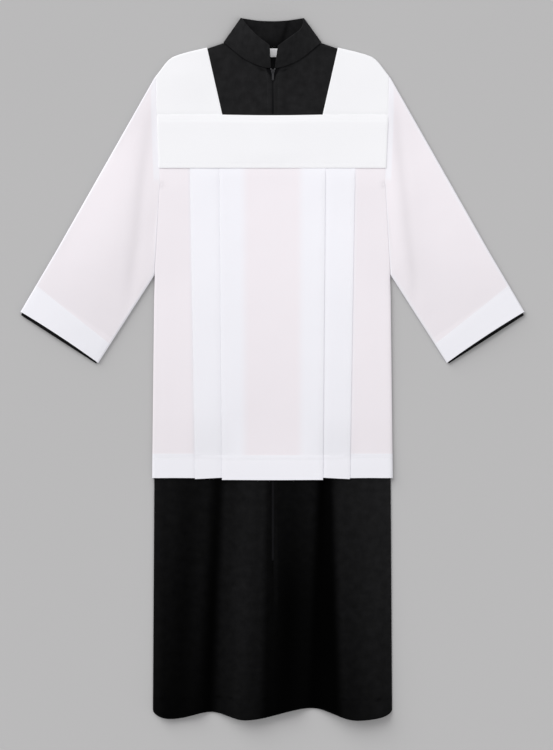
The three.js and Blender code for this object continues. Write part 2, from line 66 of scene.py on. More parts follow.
SURPLICE_SIDE = [(-176, 188.5), (110, 185.3), (147, 184.2), (291.5, 176.3), (314, 177.2), (400, 180.5)]
CASSOCK_SIDE = [
    (-533, 187.2), (-171, 185.0), (110, 182.2), (147, 181.2), (288, 173.2), (300, 172), (440, 171.8),
    (455, 171.4), (470, 168), (482, 160),
]
CASSOCK_TOP = [
    (3.9, 470.6), (9.7, 471.1), (25.9, 475.9), (48.7, 487.9), (75.2, 511.0), (102.6, 501.6), (150, 488.6),
    (160, 481.6),
]
BACK_NECK = [(0, 504.4), (30, 505.2), (60, 508.2), (75.2, 511.0)]
SHOULDER_LINE = [
    (102.6, 503.7), (131, 497.0), (146, 492.8), (156, 489.0), (162.5, 484.3), (168.5, 477.8), (176.4, 467.2),
    (182.7, 459.1),
]
HEM_LINE = [
    (-187.2, -547.4), (-157.5, -547.4), (-96, -537), (-42, -549), (61, -531), (134, -549.5), (187.2, -549.5),
]
# The skirt's folds: place under the surplice's hem, place at the hem, height there
SKIRT_FOLDS = [
    (-188, -190, 0), (-168, -168, 9), (-129, -148, 5.5), (-104, -124, 8), (-79, -96, 0), (-42, -46, 17),
    (0, 0.6, 11), (34, 20, 12), (82, 62, 0), (120, 116, 19), (166, 168, 13), (188, 190, 0),
]
# Painted light and shade of the black cloth on and between those folds: place at the top and at the
# hem, amount at the top, half way down and at the hem
FOLD_LIGHT = [
    (-188, -190, 0.75, 0.5, 0.22), (-168, -168, 0.66, 0.34, 0.11), (-129, -148, 0.4, 0.17, 0.1),
    (-104, -124, 0.5, 0.34, 0.1), (-85, -102, 0.15, 0.03, 0.01), (-68, -80, 0.66, 0.52, 0.32),
    (-42, -50, 0.87, 0.84, 0.5), (-16, -26, 0.83, 0.62, 0.36), (-2, -8, 0.33, 0.2, 0.05),
    (30, 20, 0.38, 0.04, 0.02), (62, 50, 0.54, 0.16, 0.06), (78, 62, 0.02, 0.02, 0.01),
    (88, 98, 0.11, 0.01, 0.01), (104, 116, 0.92, 0.62, 0.3), (166, 168, 1.2, 0.96, 0.6),
    (188, 190, 1.45, 1.15, 0.7),
]
# Half of the pleated front from its side seam to the middle: place at the top and at the hem, layer, reach of
# the hem, and whether another layer lies under it
PLEATS = [
    (150, 155, 0, 0.5, 0), (134, 127, 0, 0.7, 0), (130.6, 122.6, 0, 0.7, 0.3), (127, 119, 0, 0.7, 1),
    (110, 112, 0, -0.6, 1),
    (90, 86, 0, -0.6, 1), (90, 86, 1, 0, 1), (108, 103, 1, 1.4, 1), (128.8, 120.7, 1, 2.3, 1),
    (128.8, 120.7, 2, 2.3, 1), (110, 103, 2, 1.4, 1), (91, 87, 2, 0.5, 1),
    (86.5, 82.5, 1.6, 0.3, 1), (83, 79, 0.9, 0.2, 1), (75, 71, 0, 0, 1),
    (43.5, 43.5, 0, 0, 1), (43.5, 43.5, 1, 1, 1), (75, 71, 1.1, 2.4, 1), (82.5, 78.5, 2, 3.6, 1),
    (82.5, 78.5, 3, 3.6, 1), (74, 70, 2.2, 3.6, 1), (52, 52, 1.9, 3.7, 1), (36, 36, 1.4, 3.8, 0),
    (20, 20, 1.1, 3.9, 0), (0, 0, 1, 3.9, 0),
]
# The collar from its front end to the middle of the back: seam point, edge point, heights of both
COLLAR = [
    (-2.6, 471.3, -4.4, 504.0, 5.9, 24.0), (-10.5, 472.2, -9.6, 508.3, 5.8, 24.2),
    (-20.0, 474.8, -16.6, 513.6, 5.5, 23.4), (-32.0, 479.7, -24.6, 520.6, 5.0, 21.0),
    (-46.0, 487.3, -33.4, 530.0, 4.7, 17.0), (-58.5, 496.9, -40.6, 538.8, 4.6, 12.4),
    (-68.8, 505.2, -45.6, 545.6, 4.5, 8.0), (-75.4, 510.8, -48.3, 549.3, 4.4, 5.2),
    (-75.4, 511.0, -48.3, 549.4, 2.5, 1.1), (-60, 508.9, -38, 547.8, 2.4, 1.0),
    (-40, 506.9, -26, 546.0, 2.4, 1.0), (-20, 505.6, -13, 545.0, 2.4, 1.0), (0, 505.1, 0, 544.7, 2.4, 1.0),
]
# The edge points of the collar's right front, which stands a little fuller than the left
COLLAR_RIGHT = [
    (8.6, 503.6), (17.2, 510.2), (24.8, 515.4), (33.2, 521.8), (41.4, 528.4), (45.8, 534.2), (47.9, 541.0),
    (48.2, 548.6),
]


def mix(a, b, t):
    return a + (b - a) * t


def smooth(t):
    t = max(0.0, min(1.0, t))
    return t * t * (3 - 2 * t)


def bell(distance, width):
    return math.exp(-((distance / width) ** 2))


def read(rows, at):
    """A value read straight between the rows of a short table."""
    if at <= rows[0][0]:
        return rows[0][1]
    for (a, va), (b, vb) in zip(rows, rows[1:]):
        if at <= b:
            return mix(va, vb, (at - a) / (b - a))
    return rows[-1][1]


def waved(rows, at):
    """A value between rows that are crests and hollows, level at each."""
    if at <= rows[0][0]:
        return rows[0][1]
    for (a, va), (b, vb) in zip(rows, rows[1:]):
        if at <= b:
            return mix(va, vb, (1 - math.cos(math.pi * (at - a) / (b - a))) / 2)
    return rows[-1][1]


def along(path, share):
    """The point at a share of the way along a path of plan points."""
    steps = [math.dist(a, b) for a, b in zip(path, path[1:])]
    left = share * sum(steps)
    for (a, b), step in zip(zip(path, path[1:]), steps):
        if left <= step + 1e-9:
            t = min(1.0, left / step)
            return mix(a[0], b[0], t), mix(a[1], b[1], t)
        left -= step
    return path[-1]


def uneven(x, y, size, amount, seed=0.0):
    """The slight unevenness of cloth that was smoothed by hand."""
    return amount * noise.noise(Vector((x / size, y / size, seed)))


def hem_line(x):
    """The cassock's lower edge: waved by the folds and rounded off at both sides."""
    start, rise = (157.5, 14.2) if x < 0 else (134.0, 16.5)
    t = max(0.0, min(1.0, (abs(x) - start) / (187.2 - start)))
    return waved(HEM_LINE, x) + rise * (1 - math.sqrt(1 - t * t))


def hem_seam(x):
    """The row of stitches that holds the cassock's turned hem."""
    return -514 + 0.25 * (waved(HEM_LINE, x) + 541)


def fold_lift(x, y):
    grown = max(0.0, min(1.0, (-120 - y) / 425)) ** 1.25
    down = max(0.0, min(1.0, (SURPLICE_HEM - y) / 373))
    return grown * waved([(mix(a, b, down), high) for a, b, high in SKIRT_FOLDS], x)


def zip_lift(x, y):
    high = mix(0.35, 1.3, smooth((y - 335) / 50))
    return high * (1 - smooth((abs(x - ZIP_X) - 14) / 10)) * smooth((y - ZIP_FOOT + 20) / 18)


def white_light(x, y, z=0):
    """Painted shade: the white cloth is darkened a little from the chest down, and its thick hem less."""
    return 1 - 0.09 * max(0.0, min(1.0, (218 - y) / 330)) + 0.004 * smooth((HEM_TOP - y) / 2)


def black_light(x, y, z=0):
    """Painted light and shade: the black cloth is painted lighter on its folds and darker between them, and less
    light the farther down they run.
    """
    if y > -100:  # the chest is painted lighter, with painted shade where the cloth below the collar's seam is drawn in towards the zip
        left, right = (x + 16.2) / 5, (x - 18.5) / 5
        pucker_shade = bell(left, 1) * bell(y - 468.2 + 0.9 * (x + 16.2) / 2.4, 1.1) + bell(right, 1) * bell(
            y - 467.6 - 0.7 * (x - 18.5) / 2.4, 1.1
        )
        return 1.6 * (1 - 0.6 * min(1, pucker_shade))
    down = max(0.0, min(1.0, (SURPLICE_HEM - y) / 373))
    rows = []
    for top, low, first, half, last in FOLD_LIGHT:
        amount = mix(first, half, down * 2) if down < 0.5 else mix(half, last, down * 2 - 1)
        rows.append((mix(top, low, down), amount))
    level = waved(rows, x)
    # painted light on the placket strip beside the zip
    strip = 0.26 * smooth((x - ZIP_X - 0.5) / 2) * smooth((ZIP_X + 10.5 - x) / 4) * smooth((y + 460) / 160)
    level = max(level, strip + 0.35 * level)
    # painted shade along the row of stitches of the turned hem
    return level * (1 - 0.45 * bell(y - hem_seam(x), 1.3) * (0.6 + 0.4 * math.sin(x * 0.35)))


def back_drop(y):
    return 1.3 * smooth((SURPLICE_HEM + 2 - y) / 8)


def front_drop(y):
    return 1.3 * smooth((SURPLICE_HEM - 6 - y) / 12)


# Making pieces


def size_in_mm(key):
    """One of the habit's sizes, which are kept in metres."""
    return getattr(bpy.context.scene.habit_sizes, key) / MM


def new_object(name, bm, look):
    """The bmesh as an object of that name in the named material."""
    mesh = bpy.data.meshes.new(name)
    bm.to_mesh(mesh)
    bm.free()
    for face in mesh.polygons:
        face.use_smooth = True
    piece = bpy.data.objects.new(name, mesh)
    bpy.context.scene.collection.objects.link(piece)
    piece.data.materials.append(looks()[look])
    return piece


def cloth(name, columns, rows, place, thick, look, light=None, ring=False, flip=False):
    """A sheet of cloth on a grid. place(u, v) gives its middle in millimetres, its spot on the cut and plies."""
    bm = bmesh.new()
    bmesh.ops.create_grid(bm, x_segments=columns, y_segments=rows, size=0.5)
    cut = bm.loops.layers.uv.new("Cut")
    plies_layer = bm.verts.layers.float.new("plies")
    light_layer = bm.verts.layers.float.new("light")
    spots = {}
    for vert in bm.verts:
        u = round((vert.co.x + 0.5) * columns) / columns
        v = round((0.5 - vert.co.y) * rows) / rows
        x, y, z, s, t, plies = place(u, v)
        vert.co = Vector((x, y, z)) * MM
        vert[plies_layer] = plies
        vert[light_layer] = light(x, y, z) if light else 1.0
        spots[vert] = (s * MM, t * MM)
    for face in bm.faces:
        for loop in face.loops:
            loop[cut].uv = spots[loop.vert]
    if ring:
        bmesh.ops.remove_doubles(bm, verts=bm.verts, dist=1e-6)
    if flip:
        bmesh.ops.reverse_faces(bm, faces=bm.faces)
    bm.normal_update()
    surface = BVHTree.FromBMesh(bm)
    piece = new_object(name, bm, look)
    wall = piece.modifiers.new("Thickness", "SOLIDIFY")
    wall.thickness = thick * MM
    wall.offset = 0
    wall.use_quality_normals = True
    return piece, surface


def lay(piece, node):
    """The piece stands for its solid, which is hidden, and is put on the habit's body."""
    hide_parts(node)
    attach(piece, "habit")
    return piece


def add_on(piece):
    """The piece lies on the habit and stands for no solid."""
    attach(piece, "habit")
    return piece


def stitching(name, surface, lines, thread, proud, length=2.3, step=3.1, wide=0.42, high=0.34):
    """Rows of thread laid on the cloth under each line. A line is plan points in millimetres."""
    bm = bmesh.new()
    for line in lines:
        total = sum(math.dist(a, b) for a, b in zip(line, line[1:]))
        count = max(1, int(total / step))
        for i in range(count):
            x, y = along(line, (i + 0.5) / count)
            ax, ay = along(line, max(0, (i + 0.2) / count))
            bx, by = along(line, min(1, (i + 0.8) / count))
            spot, up, _, _ = surface.ray_cast(Vector((x * MM, y * MM, 0.2)), Vector((0, 0, -1)))
            if spot is None:
                continue
            up = up if up.z > 0 else -up
            ahead = Vector((bx - ax, by - ay, 0)).normalized()
            ahead = (ahead - up * ahead.dot(up)).normalized()
            turn = Matrix((ahead, up.cross(ahead), up)).transposed().to_4x4()
            at = Matrix.Translation(spot + up * proud * MM)
            size = Matrix.Diagonal((length / 2 * MM, wide / 2 * MM, high / 2 * MM, 1))
            bmesh.ops.create_icosphere(bm, subdivisions=1, radius=1, matrix=at @ turn @ size)
    return add_on(new_object(name, bm, thread))


# Materials


def node(tree, kind, **values):
    """A shader node with its settings and its inputs' values given by name, settings first."""
    made = tree.nodes.new(kind)
    for key, value in values.items():
        if key in made.inputs:
            made.inputs[key].default_value = value
        else:
            setattr(made, key, value)
    return made


def maths(tree, operation, a, b=None):
    made = node(tree, "ShaderNodeMath", operation=operation)
    for socket, value in zip(made.inputs, (a, b)):
        if value is None:
            continue
        if isinstance(value, (int, float)):
            socket.default_value = value
        else:
            tree.links.new(value, socket)
    return made.outputs[0]


def group(name, inputs, outputs):
    tree = bpy.data.node_groups.new(name, "ShaderNodeTree")
    for label, kind, value in inputs:
        socket = tree.interface.new_socket(name=label, in_out="INPUT", socket_type=kind)
        if value is not None:
            socket.default_value = value
    for label, kind in outputs:
        tree.interface.new_socket(name=label, in_out="OUTPUT", socket_type=kind)
    return tree, tree.nodes.new("NodeGroupInput"), tree.nodes.new("NodeGroupOutput")


def plain_weave():
    """Threads over and under each other: height and a mask of the raised threads."""
    found = bpy.data.node_groups.get("Plain weave")
    if found:
        return found
    tree, given, result = group(
        "Plain weave",
        [("Cut", "NodeSocketVector", None), ("Threads per metre", "NodeSocketFloat", 2400.0)],
        [("Height", "NodeSocketFloat"), ("Raised", "NodeSocketFloat")],
    )
    join = tree.links.new
    wobble = node(tree, "ShaderNodeTexNoise", Scale=260.0, Detail=2.0)
    join(given.outputs["Cut"], wobble.inputs["Vector"])
    apart = tree.nodes.new("ShaderNodeSeparateXYZ")
    join(given.outputs["Cut"], apart.inputs[0])
    turns = maths(tree, "MULTIPLY", given.outputs["Threads per metre"], math.pi)
    shift = maths(tree, "MULTIPLY", wobble.outputs["Fac"], 1.6)
    warp = maths(tree, "SINE", maths(tree, "ADD", maths(tree, "MULTIPLY", apart.outputs["X"], turns), shift))
    weft = maths(tree, "SINE", maths(tree, "ADD", maths(tree, "MULTIPLY", apart.outputs["Y"], turns), shift))
    height = maths(tree, "ADD", maths(tree, "MULTIPLY", maths(tree, "MULTIPLY", warp, weft), 0.5), 0.5)
    join(height, result.inputs["Height"])
    join(maths(tree, "POWER", height, 2.0), result.inputs["Raised"])
    return tree


def soft_tone():
    """Slow drifts and fine slubs in a cloth's colour, from 0 to 1."""
    found = bpy.data.node_groups.get("Soft tone")
    if found:
        return found
    tree, given, result = group(
        "Soft tone",
        [
            ("Cut", "NodeSocketVector", None), ("Slub", "NodeSocketFloat", 0.3),
            ("Patches", "NodeSocketFloat", 9.0), ("Contrast", "NodeSocketFloat", 1.0),
        ],
        [("Tone", "NodeSocketFloat")],
    )
    join = tree.links.new
    drift = node(tree, "ShaderNodeTexNoise", Scale=9.0, Detail=3.0, Roughness=0.55)
    stretched = node(tree, "ShaderNodeMapping", Scale=(900.0, 60.0, 1.0))
    slub = node(tree, "ShaderNodeTexNoise", Scale=1.0, Detail=2.0)
    join(given.outputs["Cut"], drift.inputs["Vector"])
    join(given.outputs["Patches"], drift.inputs["Scale"])
    join(given.outputs["Cut"], stretched.inputs["Vector"])
    join(stretched.outputs[0], slub.inputs["Vector"])
    fine = maths(tree, "MULTIPLY", maths(tree, "SUBTRACT", slub.outputs["Fac"], 0.5), given.outputs["Slub"])
    drifted = maths(tree, "SUBTRACT", drift.outputs["Fac"], 0.5)
    spread = maths(tree, "MULTIPLY", drifted, given.outputs["Contrast"])
    join(maths(tree, "ADD", maths(tree, "ADD", spread, 0.5), fine), result.inputs["Tone"])
    return tree


def two_colours(tree, mask, first, second):
    blend = node(tree, "ShaderNodeMix", data_type="RGBA", A=(*first, 1), B=(*second, 1))
    tree.links.new(mask, blend.inputs["Factor"])
    return blend.outputs["Result"]


def fresh_look(name, values):
    """A new material, its tree, and its shader with the given values."""
    look = bpy.data.materials.new(name)
    look.use_nodes = True
    skin = look.node_tree.nodes["Principled BSDF"]
    for key, value in values.items():
        skin.inputs[key].default_value = value
    return look, look.node_tree, skin


def cloth_look(name, dark, light, threads, depth, rough, sheen, single=None, patches=9.0, contrast=1.0):
    """Woven cloth. single is the colour of one layer over black, where the plies attribute is 0."""
    values = {"Roughness": rough, "Specular IOR Level": 0.0, "Sheen Weight": sheen, "Sheen Roughness": 0.5}
    look, tree, skin = fresh_look(name, values)
    join = tree.links.new
    cut = node(tree, "ShaderNodeUVMap", uv_map="Cut")
    weave = node(tree, "ShaderNodeGroup", node_tree=plain_weave())
    weave.inputs["Threads per metre"].default_value = threads
    join(cut.outputs[0], weave.inputs["Cut"])
    tone = node(tree, "ShaderNodeGroup", node_tree=soft_tone(), Patches=patches, Contrast=contrast)
    join(cut.outputs[0], tone.inputs["Cut"])
    colour = two_colours(tree, tone.outputs["Tone"], dark, light)
    if single:
        plies = node(tree, "ShaderNodeAttribute", attribute_name="plies")
        thin = node(tree, "ShaderNodeMix", data_type="RGBA", A=(*single, 1))
        join(plies.outputs["Fac"], thin.inputs["Factor"])
        join(colour, thin.inputs["B"])
        colour = thin.outputs["Result"]
    shade = node(tree, "ShaderNodeMix", data_type="RGBA", blend_type="MULTIPLY", Factor=0.12)
    join(colour, shade.inputs["A"])
    join(two_colours(tree, weave.outputs["Raised"], (0.75, 0.75, 0.75), (1, 1, 1)), shade.inputs["B"])
    # the light attribute paints light and shade into the base colour
    lit = node(tree, "ShaderNodeAttribute", attribute_name="light")
    full = node(tree, "ShaderNodeVectorMath", operation="SCALE")
    join(shade.outputs["Result"], full.inputs[0])
    join(lit.outputs["Fac"], full.inputs["Scale"])
    join(full.outputs[0], skin.inputs["Base Color"])
    bump = node(tree, "ShaderNodeBump", Strength=0.5, Distance=depth)
    join(weave.outputs["Height"], bump.inputs["Height"])
    join(bump.outputs[0], skin.inputs["Normal"])
    return look


def thread_look(name, colour, rough=0.6, sheen=0.1):
    values = {"Roughness": rough, "Specular IOR Level": sheen, "Sheen Weight": sheen}
    look, tree, skin = fresh_look(name, values)
    join = tree.links.new
    place = tree.nodes.new("ShaderNodeTexCoord")
    twist = node(tree, "ShaderNodeTexNoise", Scale=1500.0, Detail=2.0)
    join(place.outputs["Object"], twist.inputs["Vector"])
    light = tuple(min(1, c * 1.3 + 0.0005) for c in colour)
    join(two_colours(tree, twist.outputs["Fac"], colour, light), skin.inputs["Base Color"])
    bump = node(tree, "ShaderNodeBump", Strength=0.4, Distance=0.0001)
    join(twist.outputs["Fac"], bump.inputs["Height"])
    join(bump.outputs[0], skin.inputs["Normal"])
    return look


def metal_look(name, colour):
    look, tree, skin = fresh_look(name, {"Metallic": 0.85})
    join = tree.links.new
    place = tree.nodes.new("ShaderNodeTexCoord")
    grain = node(tree, "ShaderNodeTexNoise", Scale=700.0, Detail=4.0)
    join(place.outputs["Object"], grain.inputs["Vector"])
    light = tuple(min(1, c * 1.7) for c in colour)
    join(two_colours(tree, grain.outputs["Fac"], colour, light), skin.inputs["Base Color"])
    spread = node(tree, "ShaderNodeMapRange")
    spread.inputs["To Min"].default_value = 0.28
    spread.inputs["To Max"].default_value = 0.5
    join(grain.outputs["Fac"], spread.inputs["Value"])
    join(spread.outputs[0], skin.inputs["Roughness"])
    bump = node(tree, "ShaderNodeBump", Strength=0.2, Distance=0.00005)
    join(grain.outputs["Fac"], bump.inputs["Height"])
    join(bump.outputs[0], skin.inputs["Normal"])
    return look


def looks():
    """Each material, made once."""
    if "White surplice cloth" not in bpy.data.materials:
        c = bpy.context.scene.habit_colours
        white = tuple(c.white)
        cloth_look(
            "White surplice cloth", tuple(v * 0.985 for v in white), white, 2600, 0.00006, 0.85, 0.03,
            single=tuple(c.single_layer),
        )
        yoke = tuple(c.yoke)
        cloth_look("White yoke cloth", tuple(v * 0.985 for v in yoke), yoke, 2600, 0.00006, 0.85, 0.03)
        black = tuple(c.black)
        cloth_look(
            "Black cassock cloth", tuple(v * 0.62 for v in black), tuple(v * 1.4 for v in black), 2100, 0.0001,
            0.9, 0.03, patches=75.0, contrast=1.3,
        )
        cloth_look("Zip tape cloth", (0.004, 0.004, 0.0045), (0.009, 0.009, 0.01), 1500, 0.00015, 0.8, 0.05)
        cloth_look("Label cloth", (0.94, 0.94, 0.95), (0.97, 0.97, 0.98), 4200, 0.00005, 0.6, 0.1)
        thread_look("White thread", tuple(v * 0.97 for v in white))
        thread_look("Black thread", (0.022, 0.022, 0.023))
        # the hem's stitches are black thread, made darker than the cloth as painted shade along their seam
        thread_look("Dark thread", (0.001, 0.001, 0.001), 0.9, 0.0)
        thread_look("Zip coil", (0.006, 0.006, 0.007), 0.35)
        metal_look("Dark zip metal", tuple(c.zip_metal))
        metal_look("Bright stop metal", (0.26, 0.26, 0.27))
    return bpy.data.materials


# The surplice


def pleat_columns(step, pitch):
    """The pleated half as columns: place at top and hem, height, reach, plies and length along the cloth."""
    rows = []
    length = 0.0
    for k, (top, hem, layer, drop, plies) in enumerate(PLEATS):
        rows.append((top, hem, layer * pitch, drop, plies, length))
        if k + 1 == len(PLEATS):
            break
        top2, hem2, layer2, drop2, plies2 = PLEATS[k + 1]
        if top2 == top:  # a fold turns on a half circle
            way = 1 if top > PLEATS[k - 1][0] else -1
            for i in range(1, 4):
                a = math.pi * i / 4
                out = way * math.sin(a) * pitch / 2
                up = mix(layer, layer2, (1 - math.cos(a)) / 2) * pitch
                length += pitch * 0.4
                rows.append((top + out, hem + out, up, mix(drop, drop2, i / 4), plies, length))
            length += pitch * 0.4
        else:
            span = math.hypot(top2 - top, (layer2 - layer) * pitch)
            parts = max(1, round(span / step))
            for i in range(1, parts):
                t = i / parts
                up = mix(layer, layer2, smooth(t)) * pitch
                under = mix(plies, plies2, smooth(t))
                reach = mix(drop, drop2, t)
                rows.append((mix(top, top2, t), mix(hem, hem2, t), up, reach, under, length + t * span))
            length += span
    return rows


# How the side edge lies: inside the seam and below the front where it is sewn to the sleeve, and the same where
# it rolls down to the back
SIDE_EDGE = [
    (-0.5, 0.7, 0.1, 3.6), (-0.15, 0.35, 0.1, 2.6), (0.3, 0.12, 0.25, 1.6), (1.0, 0.03, 0.8, 0.7),
    (2.0, 0, 1.8, 0.15),
]


def surplice_front():
    inner = pleat_columns(6.0, size_in_mm("pleat_layer"))
    edge = SIDE_EDGE + [(d, 0, d, 0) for d in (4.5, 8.0, 13.0, 19.0)]
    half = len(edge) + len(inner)
    columns = 2 * half - 2
    base = 4.4
    # the rows stand close together at the hem's upper edge, its seam and its lower edge
    falls = [mix(BAND_FOOT + 2.5, SURPLICE_HEM + 4.5, mix(i / 70, smooth(i / 70), 0.35)) for i in range(71)]
    falls += [HEM_TOP + 0.6, HEM_TOP - 0.6, HEM_TOP - 5, HEM_TOP - 6.5, HEM_TOP - 8, SURPLICE_HEM + 4.9]
    falls.sort(reverse=True)
    rows = len(falls) - 1

    def place(u, v):
        k = round(u * columns)
        side = -1 if k < half - 1 else 1
        k = min(k, columns - k)
        fall = y = falls[round(v * rows)]
        near_hem = smooth((HEM_TOP - 1 - y) / 31.5)
        wide = read(SURPLICE_SIDE, y)
        down = max(0.0, (BAND_FOOT - y) / (BAND_FOOT - SURPLICE_HEM))
        rolled = smooth((154 - y) / 14)
        hem_ply = 1 if fall < HEM_TOP else 0
        reach = 3.2 * near_hem
        if k < len(edge):
            inside, under, inside_rolled, under_rolled = edge[k]
            inside = mix(inside, inside_rolled, rolled)
            x = wide - inside
            z = base - mix(under, under_rolled, rolled)
            s, plies = -inside, 0
        else:
            top, hem, up, drop, plies, s = inner[k - len(edge)]
            x = mix(top, hem, down)
            z = base + up * mix(0.4, 1, smooth((BAND_FOOT - y) / 16))
            s += 26
            reach = (drop + 2.5) * near_hem
        plies = max(plies, hem_ply)
        y += 2.5 * smooth((x - 78) / 45) * bell(y - HEM_TOP, 14) - reach
        z -= 0.4 * smooth((y - BAND_FOOT + 1.5) / 3)
        z += 1.5 * smooth((-90 - y) / 60) * smooth(k / 5)
        ease = smooth((k - 3) / 8) * smooth((BAND_FOOT - y) / 40)
        z += (uneven(side * x, y, 95, 0.8, 1.0) + uneven(side * x, y, 34, 0.2, 2.0)) * ease
        # the hem is double, so its upper edge shows as a faint step, and its stitches draw it in
        z += (0.2 * hem_ply - 0.18 * bell(fall - HEM_TOP + 6.5, 1.2)) * smooth(k / 6)
        return side * x, y, z, side * (s - 400), y, plies

    def light(x, y, z):
        """The cloth has painted shade beside each fold, along the hem's seam and where the underarm is tacked.
        """
        across = abs(x)
        down = max(0.0, (BAND_FOOT - y) / (BAND_FOOT - SURPLICE_HEM))
        shade = 0.05 * bell(across - mix(*OUTER_FOLD, down), 1.9)
        shade += 0.03 * bell(across - mix(*INNER_FOLD, down), 2.2)
        if x >= 0:  # on the right the folds throw a real shadow, so the cloth beside them is painted lighter to soften it
            shade *= -0.8
        # painted shade at the side edges and on the upper side panels
        shade += 0.03 * bell(read(SURPLICE_SIDE, y) - across, 6) * smooth((180 - y) / 40)
        shade += 0.03 * smooth((across - 128) / 4) * smooth((310 - y) / 40) * smooth((y - 100) / 80)
        shade += 0.04 * bell(y - (HEM_TOP - 7.1 + 2 * smooth((across - 78) / 45)), 1.3)
        shade += 0.12 * bell(math.hypot(across - UNDERARM_TACK[0], y - UNDERARM_TACK[1]), 4.2)
        # painted shade on the lower strips and side panels
        if y > HEM_TOP:
            lower_strip_shade = smooth((across - 45) / 45) - 0.55 * smooth((across - 126) / 4)
            shade += 0.052 * lower_strip_shade * smooth((-60 - y) / 65)
        # the middle of the hem is made a little lighter
        full = 0.018 * smooth((84 - across) / 4) * smooth((HEM_TOP - y) / 2)
        return white_light(x, y) * (1 - shade + full)

    piece, surface = cloth(
        "surplice_front_cloth", columns, rows, place, size_in_mm("white_cloth"), "White surplice cloth", light
    )
    proud = size_in_mm("white_cloth") / 2
    half_line = [(78, HEM_TOP - 7.1), (123, HEM_TOP - 5.1), (184, HEM_TOP - 5.1)]
    line = [(-x, y) for x, y in reversed(half_line)] + half_line
    seam = stitching("surplice_hem_stitches", surface, [line], "White thread", proud)
    tacks = []
    for side in (-1, 1):
        for i in range(4):
            y = UNDERARM_TACK[1] + 0.8 * (i - 1.5)
            tacks.append([(side * (UNDERARM_TACK[0] - 1.5), y), (side * (UNDERARM_TACK[0] + 1.5), y)])
    tack = stitching("underarm_tacks", surface, tacks, "White thread", proud - 0.1, length=2.6, wide=0.5)
    lay(piece, "surplice_front")


def chest_band():
    def place(u, v):
        u, v = mix(u, smooth(u), 0.75), mix(v, smooth(v), 0.6)
        wide = mix(181.4, 178.2, v)
        x = mix(-wide, wide, u)
        bow = 2.1 * math.cos(math.pi / 2 * x / 78.5) if abs(x) < 78.5 else 0
        y = mix(BAND_TOP - 1.9 - 0.5 * bow, BAND_FOOT + 0.3, v)
        z = mix(4.15, 5.05, smooth(v * 86 / 14)) + 0.9 * bell(x - ZIP_X, 55) * smooth((1 - v) * 3)
        z += uneven(x, y, 60, 0.5, 3.0) * smooth(v * 8)
        z -= 0.5 * bell(wide - abs(x), 1.6) + 0.15 * bell(v * 86, 1.2) + 0.25 * bell((1 - v) * 86, 1.2)
        # two rows of stitches draw the double cloth in
        z -= 0.1 * bell(v * 86 - 8.5, 0.9) + 0.1 * bell((1 - v) * 86 - 7.5, 0.9)
        return x, y, z, x, y, 1

    piece, surface = cloth(
        "chest_band_cloth", 130, 90, place, size_in_mm("band_cloth"), "White yoke cloth", white_light
    )
    lines = [[(-179, 390.4), (179, 390.4)], [(-176, 321.9), (176, 321.9)]]
    rows = stitching("chest_band_stitches", surface, lines, "White thread", size_in_mm("band_cloth") / 2)
    lay(piece, "surplice_chest_band")


def surplice_shoulders():
    rolls = [(0.45, -3.5), (0.42, -2.6), (0.45, -1.8), (0.6, -1.05), (0.9, -0.5), (1.4, -0.15), (2.1, 0.0)]
    ends = [0.0, 0.004, 0.01, 0.02]
    places = ends + [0.02 + 0.98 * (i + 1) / 40 for i in range(40)]
    tucks = [(0.45, -0.12), (0.9, -0.5)]
    columns = len(places) + len(tucks) - 1
    downs = [0.0] * len(rolls) + [(i + 1) / 32 for i in range(32)] + [1.012, 1.03]
    rows = len(downs) - 1

    def inset(s, amount):
        a, b = along(SHOULDER_LINE, max(0, s - 0.03)), along(SHOULDER_LINE, min(1, s + 0.03))
        p = along(SHOULDER_LINE, s)
        size = math.dist(a, b)
        return p[0] + (b[1] - a[1]) / size * amount, p[1] - (b[0] - a[0]) / size * amount

    def place_on(side):
        def place(u, v):
            k = round((1 - u if side < 0 else u) * columns)
            past, below = (0.0, 0.0) if k < len(places) else tucks[k - len(places)]
            s = places[min(k, len(places) - 1)]
            row = round(v * rows)
            amount, low = rolls[min(row, len(rolls) - 1)]
            x, y = inset(s, amount)
            down = downs[row]
            x, y = mix(x, mix(78.6, 181.0, s), down), mix(y, BAND_TOP - 1.5, down)
            z = 4.4 + low + below * smooth(down * 6)
            z += uneven(side * x, y, 60, 0.8, 7.0) * smooth((row - 5) / 12)
            z -= 0.35 * bell(s * 110, 1.4) + 0.45 * bell((1 - down) * 100, 2.2) + 10 * max(0, down - 1)
            z += 0.9 * bell(s - 0.5, 0.3) * smooth(down * 3) * (1 - min(1, down))
            z -= 0.12 * bell(s * 110 - 7, 0.9)
            return side * (x + past), y, z, side * x, y, 1

        return place

    for side, word in ((-1, "left"), (1, "right")):
        piece, surface = cloth(
            f"shoulder_{word}_cloth", columns, rows, place_on(side), size_in_mm("white_cloth"),
            "White yoke cloth", white_light,
        )
        neck = [(side * 109.0, 498), (side * 85.8, 403)]
        hem = stitching(
            f"neck_edge_{word}_stitches", surface, [neck], "White thread", size_in_mm("white_cloth") / 2,
            wide=0.35, high=0.25,
        )
        lay(piece, f"surplice_shoulder_{word}")


